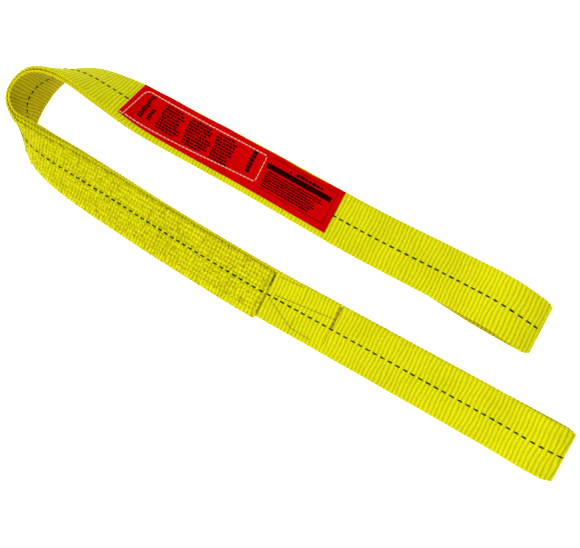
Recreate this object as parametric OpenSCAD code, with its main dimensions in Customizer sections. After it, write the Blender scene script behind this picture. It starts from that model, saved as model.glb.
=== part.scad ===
// Flat endless web sling, folded in half and laid on a table.
// One heavy web is lapped and sewn into a loop, the loop is pressed flat into a
// two-ply strap, and the strap is bent back on itself. The bend stands on its
// edge and both legs lie flat, each ending in a closed loop end, the eye.
// A red identification tag is sewn to the upper leg with one end left free.

/* [Webbing] */
// Width of the web, a standard two inch size
web_w = 50.8; // [49:0.1:51.5]
// Thickness of one ply of web
ply_t = 4.2; // [3.8:0.1:4.3]
// Gap between two plies that lie on each other
ply_gap = 0.2; // [0.15:0.05:0.3]

/* [Splice] */
// Place of the cut end of the lapped ply along the lower leg
lap_end_x = -38; // [-60:1:-20]
// Sideways shift of the lapped ply towards the outer edge
lap_shift = 2.5; // [1:0.5:5]
// Number of sewn rows on each side of the tracer yarn along the splice
side_rows = 5; // [3:1:6]
// Width of one sewn row
row_w = 1.2; // [0.8:0.1:1.6]

/* [Eyes] */
// Outer end of the lower eye
lower_tip_x = 280; // [270:1:290]
// Inner radius of the fold at the end of the lower eye
lower_fold_r = 0.5; // [0.4:0.1:1]
// Outer end of the upper eye
upper_tip_x = 213; // [207:1:220]
// Inner radius of the fold at the end of the upper eye
upper_fold_r = 2.5; // [1:0.5:4]
// Sideways drift of the upper eye's fold towards the lower leg
upper_drift = 6.5; // [0:0.5:8]

/* [Tag] */
// Width of the tag
tag_w = 44; // [38:1:44]
// Thickness of the tag
tag_t = 1; // [0.8:0.1:1.2]
// Sewn end of the tag
tag_sewn_x = -268; // [-272:1:-250]
// Seam at which the free end of the tag starts
tag_seam_x = -100; // [-110:1:-90]
// Free end of the tag
tag_free_x = -10; // [-20:1:-5]
// Shift of the tag towards the outer edge of the leg
tag_shift = 3; // [1:0.5:3]

/* [Tracer] */
// Distance from one tracer dash to the next
dash_pitch = 8.2; // [7:0.1:9]
// Length of a tracer dash
dash_len = 5; // [4:0.1:6]
// Width of a tracer dash
dash_w = 1.3; // [1:0.1:2]
// Distance from a hinge line to the first dash
dash_phase = 5.6; // [3:0.1:5.6]

/* [Hidden] */

// Colours of the materials
web_yellow = [0.92, 0.92, 0.02];
inner_yellow = [0.78, 0.76, 0.05];
thread_tan = [0.72, 0.62, 0.20];
tracer_green = [0.04, 0.16, 0.08];
tag_red = [0.86, 0.02, 0.02];
thread_cream = [0.96, 0.82, 0.68];
print_black = [0.10, 0.02, 0.02];

// Hinge lines where the ends of the lower and the upper leg lift
lower_hinge_x = 110;
upper_hinge_x = 70;

// Route of the strap's centre line seen from above: x, y and the lean in
// degrees. Lean 0 lies flat and 90 stands on its outer edge. The route starts
// beyond the lower hinge line, runs round the bend and ends beyond the upper one.
route = [
    [170, 0, 0], [lower_hinge_x, 0, 0], [30, 0, 0], [-40, 0, 0], [-110, 2, 0],
    [-180, 5, 0], [-240, 9, 3], [-295, 14, 15], [-338, 20, 33], [-364, 29, 52],
    [-381, 44, 84], [-387, 64, 105], [-380, 86, 100], [-361, 103, 80],
    [-330, 111, 62], [-288, 110, 41], [-238, 106, 14], [-180, 104, 0],
    [-110, 102, 0], [-40, 99, 0], [20, 96.5, 0], [upper_hinge_x, 96, 0], [120, 96.5, 0]
];
// Places on the route, counted in route points from the lower hinge line
t_low_flat = 4;
t_apex = 10;
t_up_flat = 16;
t_end = 20;
upper_y = route[t_end + 1].y;
step = 0.1;

half_w = web_w / 2;
half_t = ply_t + ply_gap / 2;
lap_lift = ply_t + ply_gap;
// The base ply of the splice ends here, and the lapped ply steps down after it
t_base_end = 8.2;
t_step_end = 9;
tracer_h = 0.2;
row_h = 0.3;
mark_h = 0.15;
flap_gap = 0.3;

// Point of the route at place t, as a curve through the listed points
function blend(a, b, c, d, u) = 0.5 * (2 * b + (c - a) * u
    + (2 * a - 5 * b + 4 * c - d) * u * u + (3 * b - a - 3 * c + d) * u * u * u);
function route_at(t) = let (i = min(max(floor(t), 0), len(route) - 4))
    blend(route[i], route[i + 1], route[i + 2], route[i + 3], t - i);
function heading(t) = let (d = route_at(t + 0.01) - route_at(t - 0.01), m = norm([d.x, d.y]))
    [d.x / m, d.y / m, 0];
function lean_at(t) = max(0, route_at(t)[2]);
// Side direction towards the inner edge, level and then leaned
function level_side(t) = let (h = heading(t)) [h.y, -h.x, 0];
function side(t) = level_side(t) * cos(lean_at(t)) + [0, 0, sin(lean_at(t))];
function face(t) = -level_side(t) * sin(lean_at(t)) + [0, 0, cos(lean_at(t))];
function centre(t) = let (p = route_at(t), q = lean_at(t))
    [p.x, p.y, half_w * sin(q) + half_t * abs(cos(q))];
// Point at place t, a towards the inner edge and b out of the outer face
function spot(t, a, b) = centre(t) + side(t) * a + face(t) * b;
function places(t0, t1, n) = [for (i = [0:n]) t0 + (t1 - t0) * i / n];
// Places from t0 to t1 at every whole step, so that solids on one another share them
function stations(t0, t1) = concat([t0],
    [for (i = [floor(t0 / step + 1.001):ceil(t1 / step - 1.001)]) i * step], [t1]);

// Place on the lower or upper leg at a given x
low_table = [for (t = [0:0.05:9.5]) [-route_at(t).x, t]];
up_table = [for (t = [11:0.05:t_end]) [route_at(t).x, t]];
function t_low(x) = lookup(-x, low_table);
function t_up(x) = lookup(x, up_table);
// Place at a given length along the route
function lengths(t, t1, s = 0) = t > t1 ? [] : concat([[s, t]],
    lengths(t + 0.05, t1, s + norm(centre(t + 0.05) - centre(t))));
leg_table = lengths(0, t_end - 0.02);
function t_along(s) = lookup(s, leg_table);
function s_at(t) = lookup(t, [for (r = leg_table) [r[1], r[0]]]);

function smooth(u) = let (v = min(max(u, 0), 1)) v * v * (3 - 2 * v);
function step_down(t) = 1 - smooth((t - t_base_end - 0.1) / (t_step_end - t_base_end - 0.1));
function lap_b(t) = ply_gap / 2 + lap_lift * step_down(t);
function lap_a(t) = -lap_shift * step_down(t);

t_lap_end = t_low(lap_end_x);
t_seam = t_up(tag_seam_x);
t_sewn = t_up(tag_sewn_x);

// The box of the laid-out sling gives the origin: its centre, on the table
rim = [for (t = [t_low_flat:0.2:t_up_flat + 0.01], a = [-half_w, half_w], b = [-half_t, half_t])
    spot(t, a, b)];
lap_edge = [for (t = places(t_lap_end, t_low_flat, 14)) spot(t, lap_a(t) - half_w, half_t)];
xs = [for (p = rim) p.x];
ys = [for (p = concat(rim, lap_edge)) p.y];
mid_x = (lower_tip_x + min(xs)) / 2;
mid_y = (min(ys) + max(ys)) / 2;
module placed() translate([-mid_x, -mid_y, 0]) children();

// Solid between rings of four corners each. Where the web twists, each four-sided
// patch is split along the diagonal that lies inside the material: rising lists the
// patches whose lean increases.
function ring_faces(n, rising) = concat([[3, 2, 1, 0]], [[for (j = [0:3]) 4 * n + j]],
    [for (i = [0:n - 1], j = [0:3]) let (m = (j + 1) % 4, p = 4 * i, q = p + 4)
        each rising[i] ? [[p + j, p + m, q + m], [p + j, q + m, q + j]]
            : [[p + j, p + m, q + j], [p + m, q + m, q + j]]]);
module rings(points, rising = []) let (n = len(points) / 4 - 1)
    polyhedron(points, ring_faces(n, rising == [] ? [for (i = [1:n]) true] : rising),
        convexity = 6);

// Band along the rolled part of the route. With lap it follows the lapped ply, and a
// and b are counted from that ply's middle and inner face.
function on_step(t, a, b, lap) = lap ? spot(t, lap_a(t) + a, lap_b(t) + b) : spot(t, a, b);
function on_web(t, a, b, lap) = let (t0 = floor(t / step + 0.001) * step, u = max(0, t - t0) / step)
    on_step(t0, a, b, lap) * (1 - u) + (u > 0.001 ? on_step(t0 + step, a, b, lap) * u : [0, 0, 0]);
module band(t0, t1, a0, a1, b0, b1, lap = false) {
    ts = stations(t0, t1);
    rings([for (t = ts, c = [[a0, b0], [a1, b0], [a1, b1], [a0, b1]]) on_web(t, c[0], c[1], lap)],
        [for (i = [1:len(ts) - 1]) lean_at(ts[i]) > lean_at(ts[i - 1])]);
}
// Level band on the flat part of the route, with true flat faces
function plan(t, a) = let (p = spot(t, a, 0)) [p.x, p.y];
module flat_band(t0, t1, a0, a1, z0, h) {
    ts = places(t0, t1, max(1, round((t1 - t0) / step)));
    n = len(ts) - 1;
    translate([0, 0, z0]) linear_extrude(h)
        polygon(concat([for (t = ts) plan(t, a0)], [for (i = [n:-1:0]) plan(ts[i], a1)]));
}

// Short raised strip on the upper leg from (x0, a0) to (x1, a1)
module strip(x0, a0, x1, a1, w, b0, h) {
    d = [x1 - x0, a1 - a0];
    q = [-d.y, d.x] / norm(d) * w / 2;
    corners = [[x0, a0] - q, [x0, a0] + q];
    ends = [[x1, a1] - q, [x1, a1] + q];
    function on(c, b) = spot(t_up(c.x), c.y, b);
    rings([for (e = [corners, ends])
        each [on(e[0], b0), on(e[1], b0), on(e[1], b0 + h), on(e[0], b0 + h)]]);
}
// Row of stitches between two spots on a leg
module stitch_row(x0, a0, x1, a1, pitch, fill, w, b0, h) {
    n = max(1, round(norm([x1 - x0, a1 - a0]) / pitch));
    for (i = [0:n - 1]) let (u0 = (i + (1 - fill) / 2) / n, u1 = (i + (1 + fill) / 2) / n)
        strip(x0 + (x1 - x0) * u0, a0 + (a1 - a0) * u0,
            x0 + (x1 - x0) * u1, a0 + (a1 - a0) * u1, w, b0, h);
}

// Row of tracer dashes between two places, on the outer or the inner face
module dashes(t0, t1, s_first, face_b, lap = false) {
    k0 = ceil((s_at(t0) + dash_len / 2 - s_first) / dash_pitch);
    k1 = floor((s_at(t1) - dash_len / 2 - s_first) / dash_pitch);
    for (k = [k0:k1]) let (s = s_first + k * dash_pitch,
        ta = t_along(s - dash_len / 2), tb = t_along(s + dash_len / 2))
        let (a = lap ? -lap_a((ta + tb) / 2) : 0)
            band(ta, tb, a - dash_w / 2, a + dash_w / 2, face_b, face_b + tracer_h, lap);
}

// Centre line of an eye's loop in the x-z plane: from the flat top ply, over the
// arch, round the fold and back to the flat under ply
function bezier(p, u) = pow(1 - u, 3) * p[0] + 3 * u * pow(1 - u, 2) * p[1]
    + 3 * u * u * (1 - u) * p[2] + pow(u, 3) * p[3];
function eye_path(start_x, tip_x, fold_r, slope, rise_len, flat_len) = let (
    r = fold_r + ply_t / 2,
    c = [tip_x - ply_t / 2 - r, ply_t / 2 + r],
    a = c + r * [cos(90 - slope), sin(90 - slope)],
    top = [start_x, ply_t * 1.5 + ply_gap],
    p = [top, top + [flat_len, 0], a + rise_len * [-cos(slope), sin(slope)], a])
    concat([for (i = [0:24]) bezier(p, i / 24)],
        [for (i = [1:12]) let (q = 90 - slope - (180 - slope) * i / 12) c + r * [cos(q), sin(q)]]);
function path_dir(p, i) = let (d = p[min(i + 1, len(p) - 1)] - p[max(i - 1, 0)]) d / norm(d);
function path_off(p, i, h) = let (d = i == 0 ? [1, 0] : i == len(p) - 1 ? [-1, 0] : path_dir(p, i))
    p[i] + h * [-d.y, d.x];
module loop_end(path, y, drift) rings([for (i = [0:len(path) - 1])
    let (o = path_off(path, i, ply_t / 2), u = path_off(path, i, -ply_t / 2),
        m = y - (i <= apex_of(path) ? drift_top(path[i].x, drift) : drift_under(path[i].x, drift)))
    each [[u.x, m - half_w, u.y], [u.x, m + half_w, u.y], [o.x, m + half_w, o.y],
          [o.x, m - half_w, o.y]]]);
lower_arch_x = 200;
upper_arch_x = 90;
lower_path = eye_path(lower_arch_x, lower_tip_x, lower_fold_r, 25, 28, 40);
upper_path = eye_path(upper_arch_x, upper_tip_x, upper_fold_r, 55, 40, 48);
module eye_box(x0, x1, y, z0) translate([x0, y - half_w, z0]) cube([x1 - x0, web_w, ply_t]);
function fold_start(tip_x, fold_r) = tip_x - ply_t - fold_r;

// The upper eye's loop drifts sideways: its top ply over the last of the arch, and its
// under ply all the way back
top_drift_x = 158;
under_drift_x = 105;
function reach(x, x0) = max(0, (x - x0) / (upper_tip_x - ply_t / 2 - x0));
function drift_top(x, drift) = drift * pow(reach(x, top_drift_x), 2);
function drift_under(x, drift) = drift * (1 - pow(1 - min(1, reach(x, under_drift_x)), 2));
// The point of an eye's path that is farthest out
function apex_of(path) = let (far = max([for (p = path) p.x]))
    max([for (i = [0:len(path) - 1]) path[i].x > far - 0.001 ? i : 0]);

// Tracer dashes on top of an eye, first along the flat ply and then over the arch
function path_lengths(p, i = 0, s = 0) = i == len(p) - 1 ? [s]
    : concat([s], path_lengths(p, i + 1, s + norm(p[i + 1] - p[i])));
module eye_dashes(hinge_x, arch_x, path, y, drift) {
    ls = path_lengths(path);
    tx = [for (i = [0:len(path) - 1]) [ls[i], path[i].x]];
    tz = [for (i = [0:len(path) - 1]) [ls[i], path[i].y]];
    flat = arch_x - hinge_x;
    lift = 0.1;
    function at(s) = s < 0 ? [arch_x + s, path[0].y] : [lookup(s, tx), lookup(s, tz)];
    function dir(s) = let (d = at(s + 0.4) - at(s - 0.4)) d / norm(d);
    function on(s, a, h) = let (d = dir(s), p = at(s) + (ply_t / 2 + h) * [-d.y, d.x])
        [p.x, y - a - drift_top(at(s).x, drift), p.y];
    last = floor((flat + ls[24] - dash_len) / dash_pitch);
    for (k = [0:last]) let (s = (k + 1) * dash_pitch - dash_phase - flat)
        rings([for (u = [s - dash_len / 2, s, s + dash_len / 2])
            each [on(u, dash_w / 2, lift), on(u, -dash_w / 2, lift),
                  on(u, -dash_w / 2, lift + tracer_h), on(u, dash_w / 2, lift + tracer_h)]]);
}

// Lower leg: two plies, the splice on top of them and half of the bend
module lower_ply_under() color(web_yellow) placed()
    flat_band(0, t_low_flat, -half_w, half_w, 0, ply_t);
module lower_ply_top() color(web_yellow) placed()
    flat_band(0, t_low_flat, -half_w, half_w, ply_t + ply_gap, ply_t);
module bend_inner_lower() color(inner_yellow) placed()
    band(t_low_flat, t_apex, -half_w, half_w, -half_t, -ply_gap / 2);
module splice_base_end() color(web_yellow) placed()
    band(t_low_flat, t_base_end, -half_w, half_w, ply_gap / 2, half_t);
module splice_lap() color(web_yellow) placed()
    flat_band(t_lap_end, t_low_flat, -half_w - lap_shift, half_w - lap_shift,
        2 * half_t + ply_gap, ply_t);
module bend_outer_lower() color(web_yellow) placed()
    band(t_low_flat, t_apex, -half_w, half_w, 0, ply_t, true);

// Sewn rows of the splice, spread evenly on both sides of the tracer yarn
row_first = 2.6;
row_last = 20.4;
row_a = [for (i = [0:side_rows - 1], side = [-1, 1])
    side * (row_first + (row_last - row_first) * i / (side_rows - 1))];
lap_top_z = half_t * 2 + lap_lift;
module splice_rows_flat() color(thread_tan) placed()
    for (a = row_a) flat_band(t_lap_end + 0.03, t_low_flat, a - row_w / 2, a + row_w / 2,
        lap_top_z, row_h);
module splice_rows_rolled() color(thread_tan) placed()
    for (a = row_a) band(t_low_flat, t_base_end, a + lap_shift - row_w / 2,
        a + lap_shift + row_w / 2, ply_t, ply_t + row_h, true);

// Stitches that run on past the cut end and finish in a bar across the leg
tack_bar_x = 38;
tack_lines = [
    [[-33, 21], [-5, 23]], [[-29, 3], [tack_bar_x, 10]], [[-34, -2], [0, -18]],
    [[0, -18], [tack_bar_x - 14, -19]]
];
module tack_strip(p, q, w) let (d = q - p)
    translate([p.x, p.y, half_t * 2]) rotate([0, 0, atan2(d.y, d.x)])
        translate([0, -w / 2, 0]) cube([norm(d), w, row_h]);
module splice_end_tack() color(thread_tan) placed() {
    for (l = tack_lines) tack_strip(l[0], l[1], 0.7);
    tack_strip([tack_bar_x, 2], [tack_bar_x, 24], 2.4);
    tack_strip([tack_bar_x, -17], [tack_bar_x, -1], 1);
}

module tracer_lower_leg() color(tracer_green) placed()
    dashes(0, t_lap_end, dash_phase, half_t);
module tracer_splice() color(tracer_green) placed()
    dashes(t_lap_end, t_apex, dash_phase, ply_t, true);
module tracer_bend_lower() color(tracer_green) placed()
    dashes(7, t_apex, dash_phase, -half_t - tracer_h);

// Upper leg: two plies, the other half of the bend and the sewn tag
module upper_ply_under() color(web_yellow) placed()
    flat_band(t_up_flat, t_end, -half_w, half_w, 0, ply_t);
module upper_ply_top() color(web_yellow) placed()
    flat_band(t_up_flat, t_end, -half_w, half_w, ply_t + ply_gap, ply_t);
module bend_inner_upper() color(inner_yellow) placed()
    band(t_apex, t_up_flat, -half_w, half_w, -half_t, -ply_gap / 2);
module bend_outer_upper() color(web_yellow) placed()
    band(t_apex, t_up_flat, -half_w, half_w, ply_gap / 2, half_t);

tag_a0 = -tag_w / 2 - tag_shift;
tag_a1 = tag_w / 2 - tag_shift;
module tag_panel() color(tag_red) placed()
    band(t_sewn, t_seam, tag_a0, tag_a1, half_t, half_t + tag_t);

// Lockstitch round the sewn panel. The row at the inner edge runs out of square.
seam_x0 = tag_sewn_x + 7;
seam_x1 = tag_seam_x - 1;
seam_a0 = tag_a0 + 5.6;
seam_a1_left = tag_a1 - 2;
seam_a1_right = tag_a1 - 10;
corner = 5;
module tag_stitching() color(thread_cream) placed() {
    b = half_t + tag_t;
    stitch_row(seam_x0 + corner, seam_a0, seam_x1 - 2, seam_a0, 4.6, 0.75, 0.8, b, row_h);
    stitch_row(seam_x0 + 2, seam_a1_left, seam_x1 - 2, seam_a1_right, 4.6, 0.75, 0.8, b, row_h);
    stitch_row(seam_x0, seam_a0 + corner, seam_x0 - 2, seam_a1_left, 4.6, 0.75, 0.8, b, row_h);
    stitch_row(seam_x0 + corner, seam_a0, seam_x0, seam_a0 + corner, 4, 0.75, 0.8, b, row_h);
    stitch_row(seam_x1, seam_a0 + 1, seam_x1, seam_a1_right - 1, 4.6, 0.75, 0.8, b, row_h);
}

// Printed blocks of the sewn panel, as plain bars that stand for its columns of print
module mark(x, a, l, w) band(t_up(x), t_up(x + l), a - w / 2, a + w / 2, half_t + tag_t,
    half_t + tag_t + mark_h);
module tag_panel_marks() color(print_black) placed() {
    mark(tag_sewn_x + 19, -4.5, 4, 23);
    mark(tag_sewn_x + 29, 2, 4, 9);
    for (g = [0:2], r = [0:4])
        mark(tag_sewn_x + 46 + 33 * g, tag_a0 + 11 + 4.6 * r, r % 2 == 0 ? 22 : 16, 2.2);
    mark(tag_seam_x - 15, -5, 5, 21);
}

module tracer_upper_leg() color(tracer_green) placed() {
    dashes(t_apex, t_sewn, s_at(t_end) - dash_phase - 200 * dash_pitch, half_t);
    dashes(t_up(tag_seam_x + 3), t_end, s_at(t_end) - dash_phase - 200 * dash_pitch, half_t);
}
module tracer_bend_upper() color(tracer_green) placed()
    dashes(t_apex, 13.4, dash_phase, -half_t - tracer_h);

// Eyes
module lower_eye_under() color(web_yellow) placed()
    eye_box(lower_hinge_x, fold_start(lower_tip_x, lower_fold_r), 0, 0);
module lower_eye_top() color(web_yellow) placed()
    eye_box(lower_hinge_x, lower_arch_x, 0, ply_t + ply_gap);
module lower_eye_fold() color(web_yellow) placed() loop_end(lower_path, 0, 0);
module tracer_lower_eye() color(tracer_green) placed()
    eye_dashes(lower_hinge_x, lower_arch_x, lower_path, 0, 0);
under_end_x = fold_start(upper_tip_x, upper_fold_r);
under_x = [upper_hinge_x, for (i = [0:8]) under_drift_x + (under_end_x - under_drift_x) * i / 8];
function under_edge(x, a) = [x, upper_y + a - drift_under(x, upper_drift)];
module upper_eye_under() color(web_yellow) placed() linear_extrude(ply_t)
    polygon(concat([for (x = under_x) under_edge(x, -half_w)],
        [for (i = [9:-1:0]) under_edge(under_x[i], half_w)]));
module upper_eye_top() color(web_yellow) placed()
    eye_box(upper_hinge_x, upper_arch_x, upper_y, ply_t + ply_gap);
module upper_eye_fold() color(web_yellow) placed() loop_end(upper_path, upper_y, upper_drift);
module tracer_upper_eye() color(tracer_green) placed()
    eye_dashes(upper_hinge_x, upper_arch_x, upper_path, upper_y, upper_drift);

// Free end of the tag, in its own frame: +X towards the free end, +Y outwards
flap_z = half_t * 2 + flap_gap;
flap_len = tag_free_x - tag_seam_x;
module on_flap() {
    p = route_at(t_seam);
    h = heading(t_seam);
    placed() translate([p.x, p.y, flap_z]) rotate([0, 0, atan2(h.y, h.x)]) children();
}
module tag_flap() color(tag_red) on_flap()
    translate([0.1, -tag_a1, 0]) cube([flap_len - 0.1, tag_w, tag_t]);

// Printed warning face: a thin frame, a solid bar, a triangle and rows of small marks
module flap_mark(x, y, l, w) translate([x, y - w / 2, tag_t]) cube([l, w, mark_h]);
module tag_flap_marks() color(print_black) on_flap() {
    frame_y = [-tag_a1 + 7, -tag_a0 - 4.5];
    for (y = frame_y) flap_mark(4, y, flap_len - 11, 0.5);
    translate([flap_len - 7.5, frame_y[0] + 0.3, tag_t])
        cube([0.5, frame_y[1] - frame_y[0] - 0.6, mark_h]);
    flap_mark(3, 11, flap_len - 11, 5);
    translate([30, 17.5, tag_t]) linear_extrude(mark_h) polygon([[-2, -1.8], [2, -1.8], [0, 2]]);
    for (i = [0:4]) flap_mark(36 + 6.5 * i, 17, 5, 2.2);
    for (r = [0:6]) flap_mark(4, 6 - 2.8 * r, 60 + 15 * (r % 2), 1.1);
}

lower_ply_under();
lower_ply_top();
bend_inner_lower();
splice_base_end();
splice_lap();
bend_outer_lower();
splice_rows_flat();
splice_rows_rolled();
splice_end_tack();
tracer_lower_leg();
tracer_splice();
tracer_bend_lower();
upper_ply_under();
upper_ply_top();
bend_inner_upper();
bend_outer_upper();
tag_panel();
tag_stitching();
tag_panel_marks();
tracer_upper_leg();
tracer_bend_upper();
lower_eye_under();
lower_eye_top();
lower_eye_fold();
tracer_lower_eye();
upper_eye_under();
upper_eye_top();
upper_eye_fold();
tracer_upper_eye();
tag_flap();
tag_flap_marks();
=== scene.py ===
"""Flat endless web sling: woven web, tracer yarn, sewn splice and identification tag."""
import math
import random

import bpy
import numpy as np
from mathutils import Matrix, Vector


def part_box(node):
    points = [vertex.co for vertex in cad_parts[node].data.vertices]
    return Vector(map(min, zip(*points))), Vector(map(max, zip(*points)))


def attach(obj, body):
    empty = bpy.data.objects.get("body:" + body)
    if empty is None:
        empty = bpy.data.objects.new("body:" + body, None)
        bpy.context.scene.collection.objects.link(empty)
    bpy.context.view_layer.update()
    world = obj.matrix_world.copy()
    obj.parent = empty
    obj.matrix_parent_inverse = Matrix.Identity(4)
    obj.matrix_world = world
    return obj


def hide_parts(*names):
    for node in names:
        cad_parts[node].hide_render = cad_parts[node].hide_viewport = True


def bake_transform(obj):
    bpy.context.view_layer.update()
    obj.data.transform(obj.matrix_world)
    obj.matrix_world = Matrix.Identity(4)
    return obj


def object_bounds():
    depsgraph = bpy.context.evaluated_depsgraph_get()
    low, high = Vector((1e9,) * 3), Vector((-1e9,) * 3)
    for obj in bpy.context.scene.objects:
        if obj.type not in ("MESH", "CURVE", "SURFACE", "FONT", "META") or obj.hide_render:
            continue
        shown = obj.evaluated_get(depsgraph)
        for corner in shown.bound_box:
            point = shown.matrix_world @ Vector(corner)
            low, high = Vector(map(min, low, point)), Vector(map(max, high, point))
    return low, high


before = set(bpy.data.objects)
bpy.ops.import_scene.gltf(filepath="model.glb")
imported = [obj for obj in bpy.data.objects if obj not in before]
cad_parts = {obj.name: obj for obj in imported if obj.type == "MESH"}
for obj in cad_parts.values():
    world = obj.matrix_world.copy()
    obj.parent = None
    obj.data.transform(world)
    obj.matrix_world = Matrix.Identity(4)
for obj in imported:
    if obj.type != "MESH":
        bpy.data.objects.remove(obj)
cad_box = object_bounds()
random.seed(7)
MM = 0.001


# ---------------------------------------------------------------- route of the strap
# The same places, in millimetres, as the sling's solids. A place t counts route points from
# the lower hinge line, and a distance s runs along the middle of the strap from there. At each
# place, a is measured towards the inner edge and b out of the outer face.
WEB_W, PLY_T, PLY_GAP = 50.8, 4.2, 0.2
HALF_W, HALF_T, LAP_LIFT = WEB_W / 2, PLY_T + PLY_GAP / 2, PLY_T + PLY_GAP
LOWER_HINGE_X, UPPER_HINGE_X = 110.0, 70.0
LOWER_TIP_X, UPPER_TIP_X = 280.0, 213.0
LOWER_ARCH_X, UPPER_ARCH_X = 200.0, 90.0
LOW_JOIN_X, UP_JOIN_X = 0.0, -60.0
UPPER_Y, UPPER_DRIFT = 96.0, 6.5
# x, y and the lean in degrees: 0 lies flat and 90 stands on its edge
ROUTE = np.array([
    (170, 0, 0), (110, 0, 0), (30, 0, 0), (-40, 0, 0), (-110, 2, 0), (-180, 5, 0), (-240, 9, 3),
    (-295, 14, 15), (-338, 20, 33), (-364, 29, 52), (-381, 44, 84), (-387, 64, 105), (-380, 86, 100),
    (-361, 103, 80), (-330, 111, 62), (-288, 110, 41), (-238, 106, 14), (-180, 104, 0),
    (-110, 102, 0), (-40, 99, 0), (20, 96.5, 0), (70, 96, 0), (120, 96.5, 0)], float)
T_END = 20
T_BASE_END, T_BASE_TIP, T_STEP_END = 8.2, 8.9, 9.0
ROW_STEP = 4.45
ROW_A = [2.6 + ROW_STEP * i for i in range(5)]
LAP_END_X, LAP_SHIFT = -38.0, 2.5
DASH_PITCH, DASH_LEN, DASH_PHASE = 8.2, 5.0, 5.6
RIB = DASH_PITCH / 2
TAG_SEWN_X, TAG_SEAM_X, TAG_FREE_X, TAG_SEAM_Y = -268.0, -100.0, -10.0, 101.6


def route_at(t):
    """Point of the smooth curve through the route at places t."""
    t = np.atleast_1d(np.asarray(t, float))
    i = np.clip(np.floor(t).astype(int), 0, len(ROUTE) - 4)
    u = (t - i)[:, None]
    a, b, c, d = (ROUTE[i + k] for k in range(4))
    return 0.5 * (2 * b + (c - a) * u + (2 * a - 5 * b + 4 * c - d) * u ** 2
                  + (3 * b - a - 3 * c + d) * u ** 3)


def smooth(u):
    u = np.clip(u, 0, 1)
    return u * u * (3 - 2 * u)


def step_down(t):
    """1 where the outer ply lies over the base of the splice, 0 once it has stepped down."""
    return 1 - smooth((t - T_BASE_END - 0.1) / (T_STEP_END - T_BASE_END - 0.1))


def route_frame(t):
    """Centre of the two plies, side towards the inner edge and outward face at places t."""
    p = route_at(t)
    d = (route_at(t + 0.01) - route_at(t - 0.01))[:, :2]
    d /= np.linalg.norm(d, axis=1)[:, None]
    lean = np.radians(np.maximum(p[:, 2], 0))
    level = np.stack([d[:, 1], -d[:, 0], 0 * lean], 1)
    up = np.array([0, 0, 1.0])
    side = level * np.cos(lean)[:, None] + up * np.sin(lean)[:, None]
    face = -level * np.sin(lean)[:, None] + up * np.cos(lean)[:, None]
    z = HALF_W * np.sin(lean) + HALF_T * np.abs(np.cos(lean))
    return np.stack([p[:, 0], p[:, 1], z], 1), side, face


def path_lengths(points):
    """Distance along a line of points, starting from 0."""
    return np.concatenate([[0], np.cumsum(np.linalg.norm(np.diff(points, axis=0), axis=1))])


T_FINE = np.linspace(0, T_END - 0.0001, 1601)
S_FINE = path_lengths(route_frame(T_FINE)[0])
LOW_T = np.linspace(0, 9.5, 381)
UP_T = np.linspace(11, T_END, 361)
LOW_FINE = 700                    # the first points of S_FINE, all on the lower leg


def t_of(s):
    return np.interp(s, S_FINE, T_FINE)


def s_of(t):
    return float(np.interp(t, T_FINE, S_FINE))


def t_low(x):
    """Place on the lower leg at x."""
    return np.interp(-np.asarray(x, float), -route_at(LOW_T)[:, 0], LOW_T)


def t_up(x):
    """Place on the upper leg at x."""
    return np.interp(np.asarray(x, float), route_at(UP_T)[:, 0], UP_T)


def s_low(x):
    """Distance on the lower leg at x."""
    low_x = route_at(t_of(S_FINE[:LOW_FINE]))[:, 0]
    return float(np.interp(-x, -low_x, S_FINE[:LOW_FINE]))


S_LAP = s_of(t_low(LAP_END_X))
S_BASE_END, S_BASE_TIP = s_of(T_BASE_END), s_of(T_BASE_TIP)
LOW_JOIN, UP_JOIN = s_of(t_low(LOW_JOIN_X)), s_of(t_up(UP_JOIN_X))
S_SEWN, S_SEAM, S_FREE = (s_of(t_up(x)) for x in (TAG_SEWN_X, TAG_SEAM_X, TAG_FREE_X))

# The sling's solids stand with their box centred on the origin
eye_lo, eye_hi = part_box("upper_eye_top")
SHIFT = np.array([cad_box[1][0] / MM - LOWER_TIP_X, (eye_lo.y + eye_hi.y) / 2 / MM - UPPER_Y, 0.0])


def metres(points):
    return (np.asarray(points, float) + SHIFT) * MM


def point(x, y, z=0.0):
    return tuple(metres([[x, y, z]])[0])


# ---------------------------------------------------------------- camera
CAMERA_PLACE = (0.4015, 0.0815, 0.9040)
CAMERA_RIGHT = np.array([0.8146, 0.4338, -0.3850])
CAMERA_UP = np.array([-0.4409, 0.8944, 0.0750])
LENS_MM, SENSOR_MM = 62.07, 36

camera = bpy.data.objects.new("camera", bpy.data.cameras.new("camera"))
bpy.context.scene.collection.objects.link(camera)
right = CAMERA_RIGHT / np.linalg.norm(CAMERA_RIGHT)
up = CAMERA_UP - right * CAMERA_UP.dot(right)
up /= np.linalg.norm(up)
turn = Matrix(np.stack([right, up, np.cross(right, up)], 1).tolist()).to_4x4()
camera.matrix_world = Matrix.Translation(CAMERA_PLACE) @ turn
camera.data.lens, camera.data.sensor_width = LENS_MM, SENSOR_MM
bpy.context.scene.camera = camera


# ---------------------------------------------------------------- mesh helpers
def mesh_piece(name, points, faces, material, uv=None, smooth_faces=True):
    mesh = bpy.data.meshes.new(name)
    mesh.from_pydata(metres(points).tolist(), [], [list(map(int, f)) for f in faces])
    mesh.polygons.foreach_set("use_smooth", [smooth_faces] * len(mesh.polygons))
    if uv is not None:
        layer = mesh.uv_layers.new(name="web")
        index = np.zeros(len(mesh.loops), int)
        mesh.loops.foreach_get("vertex_index", index)
        layer.data.foreach_set("uv", np.asarray(uv, float)[index].ravel())
    mesh.materials.append(material)
    mesh.update()
    piece = bpy.data.objects.new(name, mesh)
    bpy.context.scene.collection.objects.link(piece)
    return piece


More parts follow.
